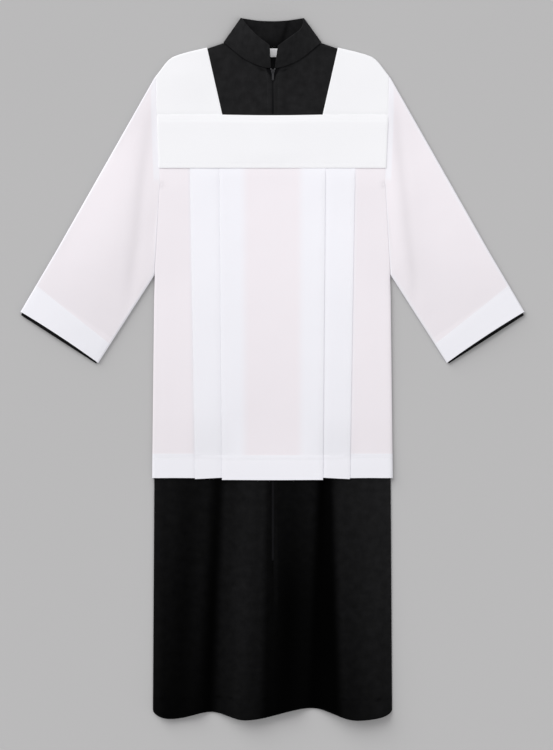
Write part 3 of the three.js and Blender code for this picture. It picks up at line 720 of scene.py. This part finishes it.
def sleeve_place(side, outer, inner, low, high, crown, corner, plies, crease, bow=0.0):
    """A place function for a sleeve that lies flat, from its outer fold over the top and back beneath."""

    def place(u, v):
        v = mix(v * v, v, min(1.0, v / 0.15)) if v < 0.98 else 1 - (1 - v) * 0.12
        a, b = along(outer, v), along(inner, v)
        length = math.dist(a, b)
        middle, rise = (low + high) / 2, (high - low) / 2
        turn = min(corner, rise)
        lift = crown * smooth(v / 0.35)
        w = (u % 1.0) * 2
        s = w if w < 1 else 2 - w
        s = mix(s, smooth(s), 0.8)
        edge = min(s, 1 - s) * length
        joined = s > 0.5 and v < 0.42
        share = min(1.0, edge / (mix(0.5, turn + 1.2, smooth((v - 0.36) / 0.06)) if joined else turn + 1.2))
        z = rise * math.sqrt(max(0.0, 1 - (1 - share) ** 2))
        d = mix(0.05, length - 0.05, s)
        if w < 1:
            height = middle + z + lift * math.sin(math.pi * s)
        else:
            height = middle - z
        x, y = mix(a[0], b[0], d / length), mix(a[1], b[1], d / length)
        out = bow * math.sin(math.pi * s) ** 0.7 * smooth((v - 0.9) / 0.1)
        x, y = x - 0.55 * out, y - 0.83 * out
        tuck = bell(v * 380, 1.1)
        if w < 1:
            height += crease(x, y, s, v) * smooth(edge / 12) - 0.5 * tuck
        return side * (x + 1.2 * tuck), y, height, side * u * 2 * length, v * 350, plies(s, v, x, y)

    return place


CREASE = [(100, -224.9), (147.3, -221.7), (202, -213.9), (268, -207.6), (355.7, -196.7), (443, -187.3)]


def white_crease(x, y, s, v):
    """A soft hollow runs down the sleeve below the shoulder, and the cuff is turned up."""
    deep = smooth((v - 0.02) / 0.2) * smooth((0.85 - v) / 0.3)
    hollow = -0.9 * bell(x - read(CREASE, y), 10) * deep
    soft = (uneven(x, y, 85, 1.0, 11.0) + uneven(x, y, 30, 0.2, 12.0)) * smooth(v * 5)
    cuff = 0.25 * smooth((v - CUFF_TOP - 0.001) / 0.004) - 0.2 * bell((v - CUFF_TOP - 0.003) * 380, 1.3)
    return hollow + soft + cuff


def sleeves():
    white_outer = [(-183.0, 458.8), (-338.1, 185.5), CUFF_OUT]
    white_inner = [(-176.9, 291.2), (-184.8, 147.3), CUFF_IN]

    def plies(s, v, x, y):
        armhole = smooth((read(SURPLICE_SIDE, y) + 11 - abs(x)) / 3) * smooth((y - 290) / 12)
        return max(smooth((v - CUFF_TOP) / 0.004), 0.8 * bell(min(s, 1 - s) * 140, 3), 0.8 * armhole)

    # Painted shade: the sleeve is darkened towards its lower end, less on the turned-up cuff, and beside its
    # crease.
    def sleeve_light(x, y, z):
        deep = smooth((440 - y) / 60) * smooth((y - 90) / 80)
        turned_up = smooth((-0.552 * (-abs(x) + 371.5) - 0.834 * (y - 130)) / 3)
        level = white_light(x, y) * (1 - 0.065 * smooth((330 - y) / 250) * (1 - 0.55 * turned_up))
        beyond = -abs(x) - read(CREASE, y)
        return level * (1 - (0.05 * bell(beyond, 8) + 0.035 * bell(beyond, 28 if beyond < 0 else 11)) * deep)

    for side, word in ((-1, "left"), (1, "right")):
        turned = -side
        white = sleeve_place(
            turned, white_outer, white_inner, 0.5, 4.4, 3.2, 1.6, plies, white_crease, bow=-2.0
        )
        thick = size_in_mm("white_cloth")
        piece, surface = cloth(
            f"surplice_sleeve_{word}_cloth", 150, 110, white, thick, "White surplice cloth", sleeve_light,
            ring=True, flip=side > 0,
        )
        cuff = [along(edge, CUFF_TOP + 0.003) for edge in (white_outer, white_inner)]
        cuff = [(turned * x, y) for x, y in cuff]
        seam = stitching(f"cuff_{word}_stitches", surface, [cuff], "White thread", thick / 2)
        lay(piece, f"surplice_sleeve_{word}")
        black = sleeve_place(
            turned, [(-172.4, 466.5), (-183.2, 453.6), (-393.6, 84.2)],
            [(-173.3, 303.5), (-181, 292), (-187.4, 147), (-276.4, 8.8)], 1.8, 2.8, 1.5, 0.9,
            lambda s, v, x, y: 1, lambda x, y, s, v: 0,
        )
        piece, surface = cloth(
            f"cassock_sleeve_{word}_cloth", 100, 60, black, size_in_mm("black_cloth"), "Black cassock cloth",
            ring=True, flip=side > 0,
        )
        lay(piece, f"cassock_sleeve_{word}")


def surplice_back():
    def place(u, v):
        across = mix(-1, 1, u)
        x = across * 182.6
        if abs(x) < 102.6:
            top = mix(455.0, 503.2, smooth((abs(x) - 88) / 14.6))
        else:
            top = read(SHOULDER_LINE, abs(x)) - 0.5
        y = mix(top, 446, v / 0.09) if v < 0.09 else mix(446, SURPLICE_HEM + 4, (v - 0.09) / 0.91)
        wide = mix(180.5, 182.6, smooth((y - 400) / 55)) if y > 400 else read(SURPLICE_SIDE, y)
        return across * (wide - 0.5), y, 0.5, x, y, 1

    piece, _ = cloth("surplice_back_cloth", 96, 120, place, size_in_mm("white_cloth"), "White surplice cloth")
    lay(piece, "surplice_back")


# The cassock


def front_place(side):
    def edge(y):
        opened = max(0.0, min(1.0, (y - FLY_CLOSES) / (ZIP_TOP - FLY_CLOSES)))
        apart = mix(0.3, 0.0, smooth((ZIP_FOOT - y) / 20))
        return side * ZIP_X + apart + FLY_OPEN * opened

    def place(u, v):
        across = 1 - u if side < 0 else u
        across = mix(across, smooth(across), 0.8)

        def out(y):
            return mix(edge(y), read(CASSOCK_SIDE, y), across)

        hem = hem_line(side * out(-533))
        hem += 0.525 * smooth((fold_lift(side * out(-533), -545) - 6) / 10)
        top = read(CASSOCK_TOP, out(480))
        if v < 0.06:
            y = mix(top, 445.0, v / 0.06)
        else:
            y = mix(445.0, hem, (v - 0.06) / 0.94)
        x = side * out(y)
        z = 3.1 - front_drop(y) + fold_lift(x, y) + zip_lift(x, y)
        # the front edge rolls down to the zip, and its row of stitches draws the cloth in
        inside = out(y) - edge(y)
        depth = 1.6 if y > ZIP_FOOT - 20 else 0.5
        z -= depth * bell(inside, 1.7) + 0.35 * bell(inside - 8, 1.0) * smooth((y - ZIP_FOOT + 160) / 40)
        # the neck seam draws small puckers
        for px, py in ((-18, 463), (-11, 464), (19, 462), (26, 466)):
            z -= 0.7 * bell(math.hypot((x - px) / 2.2, (y - py) / 5), 1)
        z += uneven(x, y, 60, 0.8, 5.0) * smooth((y - 300) / 60) * smooth((top - y) / 14)
        z += uneven(x, y, 26, 0.35, 6.0) * smooth((-200 - y) / 40)
        # the hem is turned up and stitched
        seam = hem_seam(x)
        z += 0.3 * smooth((seam + 1 - y) / 1.5) - 0.35 * bell(y - seam, 1.2)
        # the side seam comes down to the back
        side_gap = read(CASSOCK_SIDE, y) - out(y)
        side_seam = 0.95 + 1.3 * smooth((y + 174) / 10)
        z = mix(max(z, 1.62 if y < -186 else 0), side_seam, 0.9 * bell(side_gap, 1.3))
        return x, y, z, x, y, 1

    return place


def cassock_fronts():
    for side, word in ((-1, "left"), (1, "right")):
        piece, surface = cloth(
            f"cassock_front_{word}_cloth", 92, 250, front_place(side), size_in_mm("black_cloth"),
            "Black cassock cloth", black_light,
        )
        fly = [(ZIP_X + side * 11, 467), (ZIP_X + side * 8, 449), (ZIP_X + side * 8, -150)]
        low = [(ZIP_X + side * 8, -150), (ZIP_X + side * 8, -440)]
        hem = [(side * mix(2, 184, i / 40), hem_seam(side * mix(2, 184, i / 40))) for i in range(41)]
        proud = size_in_mm("black_cloth") / 2
        rows = stitching(f"fly_{word}_stitches", surface, [fly], "Black thread", proud, wide=0.4, high=0.3)
        turned = stitching(
            f"cassock_hem_{word}_stitches", surface, [hem, low], "Dark thread", proud - 0.1, length=2.9,
            wide=0.8, high=0.3,
        )
        lay(piece, f"cassock_front_{word}")


def cassock_back():
    def place(u, v):
        across = mix(-1, 1, u)
        x = across * 160
        top = read(BACK_NECK, abs(x)) if abs(x) < 75.2 else read(CASSOCK_TOP, abs(x))
        y = mix(top, 451, v / 0.06) if v < 0.06 else mix(451, -528, (v - 0.06) / 0.94)
        x = across * read(CASSOCK_SIDE, y)
        return x, y, 1.8 - back_drop(y), x, y, 1

    piece, _ = cloth("cassock_back_cloth", 90, 170, place, size_in_mm("black_cloth"), "Black cassock cloth")
    lay(piece, "cassock_back")


def eased(o, p, q, r, t):
    """A value between p and q, on the smooth curve that runs through all four."""
    return 0.5 * (2 * p + (q - o) * t + (2 * o - 5 * p + 4 * q - r) * t * t + (3 * p - o - 3 * q + r) * t**3)


def collar_columns():
    """The collar's columns from its left front end round the back to the right, eased between the rows."""
    right = []
    for i, (sx, sy, ex, ey, low, high) in enumerate(COLLAR[:-1]):
        ex, ey = COLLAR_RIGHT[i] if i < 8 else (-ex - 0.7, ey)
        right.append((-sx + (1.2 if i == 0 else 0), sy, ex, ey, low, high))
    table = COLLAR + right[::-1]
    columns = []
    for k, (a, b) in enumerate(zip(table, table[1:])):
        span = math.dist(a[:2], b[:2])
        before = table[k - 1] if k else a
        after = table[k + 2] if k + 2 < len(table) else b
        fold = span < 1
        parts = 6 if fold else max(2, round(span / 2.2))
        sharp = fold or math.dist(before[:2], a[:2]) < 1 or math.dist(b[:2], after[:2]) < 1
        for i in range(parts):
            t = i / parts
            if sharp:
                row = [mix(p, q, t) for p, q in zip(a, b)]
            else:
                row = [eased(*four, t) for four in zip(before, a, b, after)]
            if fold:  # the side fold turns on an arc
                out = 0.7 * math.sin(math.pi * t) * (1 if a[0] > 0 else -1)
                row[0] += out
                row[2] += out
            columns.append(row)
    columns.append(list(table[-1]))
    return columns


def collar_band():
    columns = collar_columns()
    count = len(columns) - 1

    def place(u, v):
        sx, sy, ex, ey, low, high = columns[round(u * count)]
        v = mix(v, smooth(v), 0.5)
        bulge = 2.4 * math.sin(math.pi * v) * smooth((high - 4) / 12)
        x, y, z = mix(sx, ex, v), mix(sy, ey, v), mix(low, high, v) + bulge
        z += uneven(x, y, 22, 0.6, 9.0) * math.sin(math.pi * v)
        return x, y, z, u * 390, v * 46, 1

    def light(x, y, z):
        """Painted shade on the inside of the band, darker towards its seam and in a soft fold towards the right;
        the outside is painted lighter.
        """
        inside = 1.25 * (1 - 0.5 * smooth((522 - y) / 22)) * (1 - 0.55 * bell(x - 15 - 0.3 * (y - 513), 4))
        return mix(inside, 1.7, smooth(z - 3.1))

    piece, _ = cloth(
        "collar_cloth", count, 26, place, size_in_mm("collar_cloth"), "Black cassock cloth", light, flip=True
    )
    soft = piece.modifiers.new("Soft edge", "BEVEL")
    soft.width = 0.0005
    soft.segments = 2
    soft.limit_method = "ANGLE"
    soft.angle_limit = math.radians(60)
    lay(piece, "cassock_collar")


def neck_label():
    def place(u, v):
        x = mix(-13, 13, u)
        y = mix(501.7, 488.4, v)
        return x, y, 3.05 + 0.35 * v, x, y, 1

    piece, _ = cloth("neck_label_cloth", 26, 14, place, 0.5, "Label cloth")
    lay(piece, "neck_label")


def zip_parts():
    def place(u, v):
        x = ZIP_X + mix(-12, 12, u)
        y = mix(470.2, ZIP_FOOT, v)
        z = 3.1 - front_drop(y) + fold_lift(x, y) + 0.25 * bell(x - ZIP_X, 2.2) - 0.5 * smooth((385 - y) / 50)
        return x, y, z, x, y, 1

    piece, _ = cloth("zip_tape_cloth", 24, 160, place, 0.6, "Zip tape cloth")
    bm = bmesh.new()
    for i in range(17):
        y = 469.6 - i * 1.15
        spread = 1.4 * smooth((y - 463) / 6)
        for way in (-1, 1):
            at = Matrix.Translation(Vector((ZIP_X + way * (0.75 + spread), y + 0.28 * way, 4.0)) * MM)
            size = Matrix.Diagonal((1.25 * MM, 0.42 * MM, 0.55 * MM, 1))
            bmesh.ops.create_icosphere(bm, subdivisions=1, radius=1, matrix=at @ size)
    teeth = add_on(new_object("zip_coil", bm, "Zip coil"))
    bm = bmesh.new()
    for way in (-1, 1):
        at = Matrix.Translation(Vector((ZIP_X + way * 3.1, 469.7, 4.3)) * MM)
        bmesh.ops.create_cube(bm, size=1, matrix=at @ Matrix.Diagonal((1.2 * MM, 1.3 * MM, 1.2 * MM, 1)))
    bmesh.ops.bevel(bm, geom=bm.edges[:], offset=0.0003, segments=2, profile=0.5, affect="EDGES", material=-1)
    stops = add_on(new_object("zip_top_stops", bm, "Bright stop metal"))
    lay(piece, "zip_tape")
    for name in ("zip_slider", "zip_pull_tab"):
        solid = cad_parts[name]
        solid.data.materials.clear()
        solid.data.materials.append(looks()["Dark zip metal"])


# The stage


def stage():
    scene = bpy.context.scene
    colours = scene.habit_colours
    bm = bmesh.new()
    under = Matrix.Translation((0, 0, -0.0004))
    bmesh.ops.create_grid(bm, x_segments=8, y_segments=8, size=20.0, matrix=under)
    look, tree, skin = fresh_look("Pale floor", {"Roughness": 0.9, "Specular IOR Level": 0.1})
    place = tree.nodes.new("ShaderNodeTexCoord")
    drift = node(tree, "ShaderNodeTexNoise", Scale=3.0, Detail=2.0)
    tree.links.new(place.outputs["Object"], drift.inputs["Vector"])
    grey = tuple(colours.floor)
    tree.links.new(
        two_colours(tree, drift.outputs["Fac"], tuple(v * 0.99 for v in grey), tuple(v * 1.01 for v in grey)),
        skin.inputs["Base Color"],
    )
    new_object("pale_floor", bm, look.name)

    world = scene.world or bpy.data.worlds.new("Studio")
    scene.world = world
    world.use_nodes = True
    back = world.node_tree.nodes.get("Background")
    back.inputs["Color"].default_value = (0.99, 0.985, 1.0, 1)
    back.inputs["Strength"].default_value = 0.555

    for name, energy, wide, way in (
        ("Wide soft key", 2.5, 54, (1.25, -1.38, -1.0)),
        ("Low soft fill", 0.78, 54, (-1.6, 0.95, -1.0)),
    ):
        data = bpy.data.lights.new(name, "SUN")
        data.energy = energy
        data.angle = math.radians(wide)
        lamp = bpy.data.objects.new(name, data)
        scene.collection.objects.link(lamp)
        lamp.rotation_euler = Vector(way).to_track_quat("-Z", "Y").to_euler()

    data = bpy.data.cameras.new("Camera")
    data.lens = 135
    data.sensor_width = 36
    data.clip_end = 20
    camera = bpy.data.objects.new("Camera", data)
    scene.collection.objects.link(camera)
    view = scene.habit_sizes.picture_height
    camera.location = (0.0063, -0.0094, view * 135 / 36)
    camera.rotation_euler = (0, 0, 0)
    scene.camera = camera
    scene.view_settings.view_transform = "Standard"


# The add-on


class HabitSizes(PropertyGroup):
    """Sizes of the habit's cloth and of the picture."""

    white_cloth: FloatProperty(
        name="White cloth", description="Thickness of the surplice's cloth", default=0.0004, unit="LENGTH"
    )
    black_cloth: FloatProperty(
        name="Black cloth", description="Thickness of the cassock's cloth", default=0.0007, unit="LENGTH"
    )
    band_cloth: FloatProperty(
        name="Chest band", description="Thickness of the double chest band", default=0.0014, unit="LENGTH"
    )
    collar_cloth: FloatProperty(
        name="Collar", description="Thickness of the stiffened collar", default=0.0018, unit="LENGTH"
    )
    pleat_layer: FloatProperty(
        name="Pleat layer", description="Height from one pleat layer to the next", default=0.0005,
        unit="LENGTH",
    )
    picture_height: FloatProperty(
        name="Picture height", description="Height of the surface that the picture takes in", default=1.1752,
        unit="LENGTH",
    )


class HabitColours(PropertyGroup):
    """Colours of the habit and its floor."""

    white: FloatVectorProperty(
        name="White cloth", description="Surplice where it is double", default=(0.897, 0.894, 0.939), size=3,
        subtype="COLOR", min=0, max=1,
    )
    yoke: FloatVectorProperty(
        name="White yoke", description="Chest band and shoulders", default=(0.898, 0.899, 0.917), size=3,
        subtype="COLOR", min=0, max=1,
    )
    single_layer: FloatVectorProperty(
        name="Single layer", description="Surplice where one layer lies over black",
        default=(0.88, 0.837, 0.872), size=3, subtype="COLOR", min=0, max=1,
    )
    black: FloatVectorProperty(
        name="Black cloth", description="Cassock", default=(0.0089, 0.0089, 0.0093), size=3, subtype="COLOR",
        min=0, max=1,
    )
    zip_metal: FloatVectorProperty(
        name="Zip metal", description="Slider and pull tab", default=(0.042, 0.042, 0.045), size=3,
        subtype="COLOR", min=0, max=1,
    )
    floor: FloatVectorProperty(
        name="Floor", description="Surface under the habit", default=(0.47, 0.468, 0.468), size=3,
        subtype="COLOR", min=0, max=1,
    )


class HABIT_OT_stage(Operator):
    """Make the floor, the lights and the camera"""

    bl_idname = "habit.stage"
    bl_label = "Stage"

    def execute(self, context):
        stage()
        return {"FINISHED"}


class HABIT_OT_surplice_back(Operator):
    """Lay the surplice's back on the floor"""

    bl_idname = "habit.surplice_back"
    bl_label = "Surplice back"

    def execute(self, context):
        surplice_back()
        return {"FINISHED"}


class HABIT_OT_cassock_back(Operator):
    """Lay the cassock's back on the surplice's"""

    bl_idname = "habit.cassock_back"
    bl_label = "Cassock back"

    def execute(self, context):
        cassock_back()
        return {"FINISHED"}


class HABIT_OT_zip_parts(Operator):
    """Make the zip's tapes, coil and stops, and give the slider and its tab their metal"""

    bl_idname = "habit.zip_parts"
    bl_label = "Zip"

    def execute(self, context):
        zip_parts()
        return {"FINISHED"}


class HABIT_OT_neck_label(Operator):
    """Make the blank neck label"""

    bl_idname = "habit.neck_label"
    bl_label = "Neck label"

    def execute(self, context):
        neck_label()
        return {"FINISHED"}


class HABIT_OT_cassock_fronts(Operator):
    """Lay the cassock's two fronts and sew them"""

    bl_idname = "habit.cassock_fronts"
    bl_label = "Cassock fronts"

    def execute(self, context):
        cassock_fronts()
        return {"FINISHED"}


class HABIT_OT_collar(Operator):
    """Make the stand collar"""

    bl_idname = "habit.collar"
    bl_label = "Collar"

    def execute(self, context):
        collar_band()
        return {"FINISHED"}


class HABIT_OT_sleeves(Operator):
    """Lay the sleeves of both garments"""

    bl_idname = "habit.sleeves"
    bl_label = "Sleeves"

    def execute(self, context):
        sleeves()
        return {"FINISHED"}


class HABIT_OT_surplice_front(Operator):
    """Lay the pleated front and sew its hem"""

    bl_idname = "habit.surplice_front"
    bl_label = "Surplice front"

    def execute(self, context):
        surplice_front()
        return {"FINISHED"}


class HABIT_OT_chest_band(Operator):
    """Make the double chest band"""

    bl_idname = "habit.chest_band"
    bl_label = "Chest band"

    def execute(self, context):
        chest_band()
        return {"FINISHED"}


class HABIT_OT_shoulders(Operator):
    """Lay the surplice's shoulder pieces"""

    bl_idname = "habit.shoulders"
    bl_label = "Shoulders"

    def execute(self, context):
        surplice_shoulders()
        return {"FINISHED"}


OPERATORS = [
    HABIT_OT_stage, HABIT_OT_surplice_back, HABIT_OT_cassock_back, HABIT_OT_zip_parts, HABIT_OT_neck_label,
    HABIT_OT_cassock_fronts, HABIT_OT_collar, HABIT_OT_sleeves, HABIT_OT_surplice_front, HABIT_OT_chest_band,
    HABIT_OT_shoulders,
]


class HABIT_PT_pieces(Panel):
    """Lists the habit's pieces in the sidebar."""

    bl_label = "Altar server's habit"
    bl_idname = "HABIT_PT_pieces"
    bl_space_type = "VIEW_3D"
    bl_region_type = "UI"
    bl_category = "Habit"

    def draw(self, context):
        for settings in (context.scene.habit_sizes, context.scene.habit_colours):
            for key in settings.__annotations__:
                self.layout.prop(settings, key)
        for made in OPERATORS:
            self.layout.operator(made.bl_idname)


CLASSES = [HabitSizes, HabitColours, *OPERATORS, HABIT_PT_pieces]


def register():
    for made in CLASSES:
        bpy.utils.register_class(made)
    bpy.types.Scene.habit_sizes = PointerProperty(type=HabitSizes)
    bpy.types.Scene.habit_colours = PointerProperty(type=HabitColours)


def unregister():
    del bpy.types.Scene.habit_colours
    del bpy.types.Scene.habit_sizes
    for made in reversed(CLASSES):
        bpy.utils.unregister_class(made)


def main():
    register()
    bpy.ops.habit.stage()
    bpy.ops.habit.surplice_back()
    bpy.ops.habit.cassock_back()
    bpy.ops.habit.zip_parts()
    bpy.ops.habit.neck_label()
    bpy.ops.habit.cassock_fronts()
    bpy.ops.habit.collar()
    bpy.ops.habit.sleeves()
    bpy.ops.habit.surplice_front()
    bpy.ops.habit.chest_band()
    bpy.ops.habit.shoulders()


if __name__ == "__main__":
    main()
